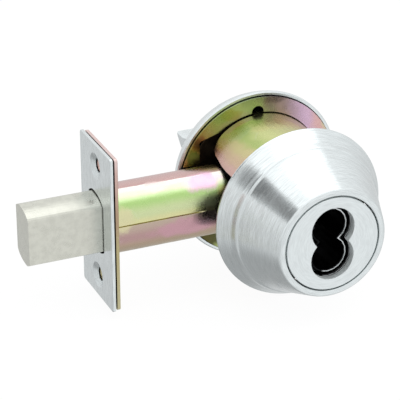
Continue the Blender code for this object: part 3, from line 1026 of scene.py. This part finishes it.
@dataclass
class SubAssembly:
    """A group of pieces that is built and dressed together.

    Attributes:
        palette: The finishes.
        nodes: Finish of each CAD node that is shown as it is.
        edges: Width of a node's eased edges, where it is not the usual one.
    """

    palette: Palette
    nodes: dict[str, str] = field(default_factory=dict)
    edges: dict[str, float] = field(default_factory=dict)

    def build(self) -> None:
        """Make the pieces that stand for CAD nodes."""

    def dress(self) -> None:
        """Ease the edges of the CAD nodes that are shown, and give them their finishes."""
        for name, finish in self.nodes.items():
            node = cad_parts[name]
            self.palette.dress(node, finish)
            weld = node.modifiers.new("weld", "WELD")
            weld.merge_threshold = WELD_DISTANCE
            bevel = node.modifiers.new("eased_edges", "BEVEL")
            bevel.width = self.edges.get(name, EDGE_WIDTH)
            bevel.segments = 2
            bevel.limit_method = "ANGLE"
            bevel.angle_limit = math.radians(EDGE_ANGLE)
            bevel.harden_normals = False
            normals = node.modifiers.new("normals", "WEIGHTED_NORMAL")
            normals.keep_sharp = True
            LOG.info("%s: %s", name, finish)


def rounded_wall(
    shape: Callable[[float], list[Point]], low: float, high: float, edge: float, hole: bool = False
) -> Wall:
    """Make a wall with rounded edges at both ends.

    Args:
        shape: Gives the outline grown by a distance.
        low: Place of the first end.
        high: Place of the second end.
        edge: Radius of the edges.
        hole: Whether the wall bounds a hole.

    Returns:
        A list of (place, outline), ready for Smith.pierced.
    """
    sign = 1.0 if hole else -1.0
    turns = [math.radians(22.5 * step) for step in range(5)]
    wall = [(low + edge - edge * math.cos(turn), edge - edge * math.sin(turn)) for turn in turns]
    wall += [(high + low - along, inset) for along, inset in reversed(wall)]
    return [(along, shape(sign * inset)) for along, inset in wall]


@dataclass
class Faceplate(SubAssembly):
    """Faceplate and backing plate in the door's edge.

    Attributes:
        front: Place of the faceplate's front along X.
        rear: Place of its back along X.
        width: Its full width.
        height: Its full height.
        corner: Radius of its corners.
        edge: Radius of its outer edges.
        slot_gap: Gap between the bolt and the slot.
        slot_edge: Radius of the slot's edges.
        hole_offset: Distance of each screw hole from the middle.
        hole_radius: Radius of each screw hole at the back.
        countersink: Wall of a screw hole as (depth, radius).
    """

    nodes: dict[str, str] = field(default_factory=lambda: {"backing_plate": "dichromate_backing"})
    front: float = -0.0660
    rear: float = -0.0648
    width: float = 0.028575
    height: float = 0.05715
    corner: float = 0.0011
    edge: float = 0.00028
    slot_gap: float = 0.0006
    slot_edge: float = 0.00012
    hole_offset: float = 0.02064
    hole_radius: float = 0.00238
    countersink: tuple[Point, ...] = (
        (0.0, 0.00470),
        (0.00005, 0.00458),
        (0.00014, 0.00444),
        (0.00095, 0.00255),
        (0.00102, 0.00243),
    )

    def build(self) -> None:
        """Make the faceplate with its slot and two countersunk holes."""
        outer = rounded_wall(self.outline, self.front, self.rear, self.edge)
        slot = rounded_wall(self.slot, self.front, self.rear, self.slot_edge, hole=True)
        rims = [outer, slot]
        sink = [(self.front + depth, radius) for depth, radius in self.countersink]
        sink.append((self.rear, self.hole_radius))
        for side in (1, -1):
            centre = (0.0, side * self.hole_offset)
            rims.append([(along, circle(centre, radius, 48)) for along, radius in sink])
        smith = Smith("faceplate_visual", Body.LOCK, Slot.SATIN_CHROME, ("faceplate",))
        plate = smith.pierced(Axis.X, rims)
        self.palette.dress(plate, "chrome_plate")
        # Painted shade: the rear faces take the dark steel finish so that the gap before the backing plate
        # reads black.
        self.palette.line(plate, "steel_hard", lambda centre, normal: normal.x > 0.9)

    def outline(self, grow: float) -> list[Point]:
        """Draw the faceplate's outline.

        Args:
            grow: Distance the outline is grown by.

        Returns:
            The points of the closed outline.
        """
        return rounded_rectangle(self.width + 2 * grow, self.height + 2 * grow, self.corner + grow)

    def slot(self, grow: float) -> list[Point]:
        """Draw the slot that the bolt passes through.

        Args:
            grow: Distance the outline is grown by.

        Returns:
            The points of the closed outline.
        """
        return bolt_section(self.slot_gap + grow)


def bolt_section(grow: float) -> list[Point]:
    """Draw the bolt's section in Y and Z, with one crowned corner on top and one below.

    Args:
        grow: Distance the outline is grown by.

    Returns:
        The points of the closed outline.
    """
    wide, high, reach = 0.0062 + grow, 0.0102 + grow, 0.0107 + grow
    crown_y, crown_z, steps = 0.0020, 0.0068, 12
    half: list[Point] = []
    for step in range(steps + 1):
        turn = math.radians(180.0 - 90.0 * step / steps)
        across, up = (crown_y + wide) * math.cos(turn), (high - crown_z) * math.sin(turn)
        half.append((crown_y + across, crown_z + up))
    first, last = math.degrees(math.asin(high / reach)), math.degrees(math.acos(wide / reach))
    half += arc((0.0, 0.0), reach, first, last, 5)
    return half + [(-y, -z) for y, z in half]


@dataclass
class LatchTube(SubAssembly):
    """The rolled tube that carries the bolt.

    Attributes:
        stations: Place along X, radius and share of the seam's depth, along the outside and back inside.
        seam_angle: Angle of the seam in degrees.
        seam: The seam's groove as (angle from its middle in degrees, depth).
        plain: Angle in degrees that the plain part takes up.
        chords: Chords in the plain part.
    """

    stations: tuple[Place, ...] = (
        (-0.06445, 0.0119, 1.0),
        (-0.06435, 0.0120, 1.0),
        (-0.0600, 0.0120, 1.0),
        (-0.0340, 0.0120, 1.0),
        (-0.0312, 0.0120, 0.25),
        (-0.0300, 0.0120, 0.0),
        (-0.0225, 0.0120, 0.0),
        (-0.0214, 0.0119, 0.0),
        (-0.0206, 0.0119, 0.0),
        (-0.0202, 0.01178, 0.0),
        (-0.0200, 0.0115, 0.0),
        (-0.0201, 0.0111, 0.0),
        (-0.0206, 0.0110, 0.0),
        (-0.06445, 0.0110, 0.0),
    )
    seam_angle: float = 169.3
    seam: tuple[Point, ...] = (
        (2.2, 0.0),
        (1.4, 0.00008),
        (0.9, 0.00045),
        (0.0, 0.00070),
        (-0.6, 0.00045),
        (-0.8, 0.00003),
        (-1.4, 0.0),
    )
    plain: float = 357.0
    chords: int = 121

    def build(self) -> None:
        """Make the tube with its seam and rolled lip."""
        loops = [[(x, y, z) for y, z in self.section(radius, share)] for x, radius, share in self.stations]
        tube = Smith("latch_tube_visual", Body.LOCK, Slot.DICHROMATE, ("latch_tube",), 40.0).skinned(loops)
        self.palette.dress(tube, "dichromate_tube_and_painted_light")

    def section(self, radius: float, share: float) -> list[Point]:
        """Draw the tube's section in Y and Z, with a narrow groove along the seam.

        Args:
            radius: Radius of the section.
            share: Depth of the seam as a share of the full depth.

        Returns:
            The points of the closed outline.
        """
        places = [(self.seam_angle + turn, radius - depth * share) for turn, depth in self.seam]
        last = places[-1][0]
        places += [(last - self.plain * step / self.chords, radius) for step in range(1, self.chords)]
        turns = [(math.radians(degrees), reach) for degrees, reach in places]
        return [(reach * math.cos(turn), reach * math.sin(turn)) for turn, reach in turns]


@dataclass
class Bolt(SubAssembly):
    """The bolt with its rods, fork and pins."""

    nodes: dict[str, str] = field(
        default_factory=lambda: {
            "bolt": "bolt_satin",
            "bolt_fork": "steel_plain",
            "fork_pin": "steel_hard",
            "drive_pin": "steel_hard",
            "anti_saw_rod_upper": "steel_hard",
            "anti_saw_rod_lower": "steel_hard",
        }
    )


@dataclass
class Drive(SubAssembly):
    """The case, cam and the parts that turn it."""

    nodes: dict[str, str] = field(
        default_factory=lambda: {
            "case_plate_key_side": "steel_sheet",
            "case_plate_turn_side": "steel_sheet",
            "case_rivet_front": "steel_plain",
            "case_rivet_rear": "steel_plain",
            "cam": "steel_plain",
            "tailpiece": "steel_sheet",
            "drive_plate": "steel_plain",
            "throw_member": "steel_plain",
        }
    )


@dataclass
class Cylinder(SubAssembly):
    """The collar, the face disc and the core housing.

    Attributes:
        lip: The collar's rolled lip as (radius, place along Y), like all of its profile.
        cone: Its cone.
        bead: Its bead.
        band: Its flaring band.
        rim: Its rim against the door.
        inside: Its inner side.
        disc_front: Place of the face disc's front along Y.
        disc_rear: Place of its back along Y.
        disc_radius: Its radius.
        disc_edge: Radius of its outer edges.
        lobe_radius: Radius of each lobe of the opening.
        lobe_drop: Distance of each lobe from the middle.
        opening_edge: Radius of the opening's edges.
        opening_reach: Distance from the origin below which a wall belongs to the opening.
    """

    nodes: dict[str, str] = field(
        default_factory=lambda: {"core_housing": "housing_plated", "collar_retaining_ring": "steel_hard"}
    )
    lip: tuple[Point, ...] = (
        (0.01735, -0.04715),
        (0.01745, -0.04742),
        (0.01768, -0.04762),
        (0.0180, -0.0477),
        (0.0184, -0.0477),
        (0.01885, -0.04762),
        (0.01925, -0.04743),
        (0.01955, -0.04718),
        (0.01980, -0.04680),
    )
    cone: tuple[Point, ...] = ((0.02003, -0.04625), (0.0234, -0.03765), (0.02638, -0.02990))
    bead: tuple[Point, ...] = (
        (0.02655, -0.02960),
        (0.02680, -0.02930),
        (0.02708, -0.02904),
        (0.02722, -0.02875),
        (0.02745, -0.02800),
        (0.02770, -0.02730),
        (0.02790, -0.02672),
    )
    band: tuple[Point, ...] = (
        (0.02800, -0.02655),
        (0.0292, -0.02445),
        (0.03058, -0.0222),
        (0.03072, -0.02202),
    )
    rim: tuple[Point, ...] = (
        (0.03088, -0.02178),
        (0.03098, -0.02155),
        (0.0310, -0.0213),
        (0.03092, -0.02114),
        (0.0307, -0.0211),
    )
    inside: tuple[Point, ...] = (
        (0.0296, -0.0211),
        (0.0266, -0.0260),
        (0.0252, -0.0285),
        (0.0190, -0.0450),
        (0.01735, -0.0450),
    )
    disc_front: float = -0.0476
    disc_rear: float = -0.0450
    disc_radius: float = 0.0169
    disc_edge: float = 0.00030
    lobe_radius: float = 0.00785
    lobe_drop: float = 0.0053
    opening_edge: float = 0.00022
    opening_reach: float = 0.0497

    def build(self) -> None:
        """Make the collar and the face disc."""
        self.build_collar()
        self.build_face_disc()

    def build_collar(self) -> None:
        """Make the collar, with its rolled lip, cone, bead and flaring band."""
        profile = [*self.lip, *self.cone, *self.bead, *self.band, *self.rim, *self.inside]
        smith = Smith("collar_visual", Body.COLLAR, Slot.SATIN_CHROME, ("collar",), 28.0)
        self.palette.dress(smith.turned(profile, steps=200), "chrome_turned")

    def build_face_disc(self) -> None:
        """Make the disc round the figure-eight opening."""
        outer = rounded_wall(self.disc, self.disc_front, self.disc_rear, self.disc_edge)
        opening = rounded_wall(self.opening, self.disc_front, self.disc_rear, self.opening_edge, hole=True)
        smith = Smith("face_disc_visual", Body.LOCK, Slot.SATIN_CHROME, ("face_disc",))
        disc = smith.pierced(Axis.Y, [outer, opening])
        self.palette.dress(disc, "chrome_face")
        self.palette.line(disc, "chrome_bore", self.in_opening)

    def disc(self, grow: float) -> list[Point]:
        """Draw the face disc's outline.

        Args:
            grow: Distance the outline is grown by.

        Returns:
            The points of the closed outline.
        """
        return circle((0.0, 0.0), self.disc_radius + grow, 128)

    def opening(self, grow: float) -> list[Point]:
        """Draw the figure-eight opening.

        Args:
            grow: Distance the outline is grown by.

        Returns:
            The points of the closed outline.
        """
        return figure_eight(self.lobe_radius + grow, self.lobe_drop)

    def in_opening(self, centre: Vector, normal: Vector) -> bool:
        """Tell whether a face of the disc belongs to the wall of its opening.

        Args:
            centre: Middle of the face.
            normal: Its normal.

        Returns:
            Whether it does.
        """
        return abs(normal.y) < 0.3 and centre.length < self.opening_reach


@dataclass
class Drum(SubAssembly):
    """The reinforcing drum."""

    nodes: dict[str, str] = field(default_factory=lambda: {"reinforcing_drum": "dichromate_drum"})


@dataclass
class InsideTrim(SubAssembly):
    """The mounting plate, rose, thumbturn and the parts between them."""

    nodes: dict[str, str] = field(
        default_factory=lambda: {
            "mounting_plate": "dichromate_plate",
            # Painted shade: the support plate is made near black to show as the shadowed area behind the
            # notch.
            "support_plate": "steel_oiled",
            "shaft_bushing": "nylon_moulded",
            "thumbturn_shaft": "steel_plain",
            "shaft_clip": "steel_plain",
            "through_screw_front": "steel_plain",
            "through_screw_rear": "steel_plain",
            "inside_rose": "chrome_rose",
            "rose_set_screw": "steel_hard",
            "thumbturn": "chrome_cast",
        }
    )
    edges: dict[str, float] = field(default_factory=lambda: {"mounting_plate": 0.0003, "thumbturn": 0.0006})


# Studio


@dataclass(frozen=True)
class StudioCamera:
    """The camera that looks down on the lock from the key side.

    Attributes:
        azimuth: Angle round Z in degrees; 0 looks along +Y.
        elevation: Angle above the floor in degrees.
        roll: Turn about the line of sight in degrees.
        distance: Distance from the aimed point in metres.
        across: Shift to the right of the aim in metres.
        up: Shift upwards of the aim in metres.
        lens: Focal length in millimetres.
    """

    azimuth: float = -23.44
    elevation: float = 25.79
    roll: float = -0.08
    distance: float = 0.68621
    across: float = -0.02527
    up: float = -0.00434
    lens: float = 175.12

    def build(self) -> None:
        """Place the camera and make it the scene's."""
        a, e, r = (math.radians(angle) for angle in (self.azimuth, self.elevation, self.roll))
        back = Vector((math.sin(a) * math.cos(e), -math.cos(a) * math.cos(e), math.sin(e)))
        right = Vector((math.cos(a), math.sin(a), 0.0))
        top = back.cross(right)
        right, top = right * math.cos(r) + top * math.sin(r), top * math.cos(r) - right * math.sin(r)
        data = bpy.data.cameras.new("studio_camera")
        data.lens = self.lens
        data.sensor_width = 36.0
        data.clip_start, data.clip_end = 0.01, 20.0
        camera = bpy.data.objects.new("studio_camera", data)
        bpy.context.scene.collection.objects.link(camera)
        place = back * self.distance + right * self.across + top * self.up
        camera.matrix_world = Matrix.Translation(place) @ Matrix((right, top, back)).transposed().to_4x4()
        bpy.context.scene.camera = camera


@dataclass(frozen=True)
class Patch:
    """A soft round patch of light or dark in the surroundings.

    Attributes:
        direction: Where it is.
        inner: Angle in degrees inside which it is full.
        outer: Angle in degrees at which it ends.
        level: Brightness of the patch.
    """

    direction: tuple[float, float, float]
    inner: float
    outer: float
    level: float


@dataclass(frozen=True)
class Lamp:
    """A square soft lamp that points at the origin.

    Attributes:
        name: Name of the lamp.
        place: Where it hangs.
        size: Length of its side.
        power: Power in watts.
    """

    name: str
    place: Place
    size: float
    power: float

    def build(self) -> None:
        """Hang the lamp."""
        data = bpy.data.lights.new(self.name, "AREA")
        data.shape, data.size, data.energy = "SQUARE", self.size, self.power
        lamp = bpy.data.objects.new(self.name, data)
        bpy.context.scene.collection.objects.link(lamp)
        lamp.visible_glossy = False
        lamp.location = self.place
        lamp.rotation_euler = (-Vector(self.place)).to_track_quat("-Z", "Y").to_euler()


@dataclass(frozen=True)
class Studio:
    """Soft light all round, a pale floor, and the patches that metal mirrors.

    Attributes:
        floor_height: Height of the floor.
        floor_reach: Half the length of its side.
        floor_grey: Grey of the floor's cloth.
        floor_glow: Share of the floor's own white glow.
        low_level: Brightness of the surroundings low down.
        high_level: Brightness of the surroundings high up.
        level_rise: Heights on the unit sphere between which the brightness rises.
        patches: Patches of light and dark.
        lamps: The lamps.
    """

    floor_height: float = -0.0317
    floor_reach: float = 3.0
    floor_grey: float = 0.9
    floor_glow: float = 0.95
    low_level: float = 0.78
    high_level: float = 1.12
    level_rise: tuple[float, float] = (-0.5, 0.9)
    patches: tuple[Patch, ...] = (
        Patch((0.36, -0.82, -0.44), 35.0, 70.0, 1.02),
        Patch((-0.35, 0.35, -0.87), 18.0, 40.0, 0.45),
        Patch((-0.30, 0.10, 0.95), 4.0, 40.0, 1.40),
        Patch((0.19, 0.15, 0.97), 25.0, 29.0, 1.75),
        Patch((-0.787, 0.069, 0.613), 13.5, 15.5, 0.08),
    )
    lamps: tuple[Lamp, ...] = (
        Lamp("key_softbox", (0.10, -0.55, 0.95), 0.9, 5.0),
        Lamp("side_softbox", (0.95, -0.30, 0.50), 0.7, 2.0),
    )

    def build(self) -> None:
        """Make the surroundings, the floor and the lamps."""
        self.build_world()
        self.build_floor()
        for lamp in self.lamps:
            lamp.build()
        bpy.context.scene.view_settings.view_transform = "Standard"

    def build_world(self) -> None:
        """Make the surroundings: white to the camera, shaded where metal mirrors them."""
        world = bpy.data.worlds.new("studio_world")
        bpy.context.scene.world = world
        world.use_nodes = True
        graph = Graph(world.node_tree)
        world.node_tree.nodes.clear()
        direction = graph.add("ShaderNodeTexCoord").outputs["Generated"]
        level = graph.span(graph.split(direction)[2], *self.level_rise, self.low_level, self.high_level)
        for patch in self.patches:
            aim = tuple(Vector(patch.direction).normalized())
            nearness = graph.vector("DOT_PRODUCT", direction, aim).outputs["Value"]
            outer, inner = math.cos(math.radians(patch.outer)), math.cos(math.radians(patch.inner))
            share = graph.span(nearness, outer, inner)
            mixed = graph.add("ShaderNodeMix", {"data_type": "FLOAT"}, i0=share, i2=level, i3=patch.level)
            level = mixed.outputs[0]
        seen = graph.add("ShaderNodeLightPath").outputs["Is Camera Ray"]
        level = graph.add("ShaderNodeMix", {"data_type": "FLOAT"}, i0=seen, i2=level, i3=1.0).outputs[0]
        background = graph.add("ShaderNodeBackground", None, Color=(1.0, 1.0, 1.0, 1.0), Strength=level)
        output = graph.add("ShaderNodeOutputWorld")
        world.node_tree.links.new(background.outputs[0], output.inputs["Surface"])

    def build_floor(self) -> None:
        """Make the pale floor, which shows only a trace of shadow."""
        bm = bmesh.new()
        bmesh.ops.create_grid(bm, x_segments=1, y_segments=1, size=self.floor_reach)
        bmesh.ops.translate(bm, verts=bm.verts, vec=(0.0, 0.0, self.floor_height))
        mesh = bpy.data.meshes.new("floor")
        bm.to_mesh(mesh)
        bm.free()
        floor = bpy.data.objects.new("floor", mesh)
        bpy.context.scene.collection.objects.link(floor)
        floor.visible_glossy = False
        material = bpy.data.materials.new("pale_floor")
        material.use_nodes = True
        graph = Graph(material.node_tree)
        graph.tree.nodes.clear()
        cloth = graph.add("ShaderNodeBsdfDiffuse", None, Color=(*[self.floor_grey] * 3, 1.0))
        glow = graph.add("ShaderNodeEmission", None, Color=(1.0, 1.0, 1.0, 1.0), Strength=1.0)
        shaders = {"i1": cloth.outputs[0], "i2": glow.outputs[0]}
        both = graph.add("ShaderNodeMixShader", None, i0=self.floor_glow, **shaders)
        output = graph.add("ShaderNodeOutputMaterial")
        graph.tree.links.new(both.outputs[0], output.inputs["Surface"])
        mesh.materials.append(material)


def main() -> None:
    """Build the looks of the whole lock."""
    logging.basicConfig(level=logging.INFO, format="%(name)s: %(message)s")
    palette = Palette()
    for kind in (Faceplate, LatchTube, Bolt, Drive, Cylinder, Drum, InsideTrim):
        assembly = kind(palette)
        assembly.build()
        assembly.dress()
    StudioCamera().build()
    Studio().build()


if __name__ == "__main__":
    main()
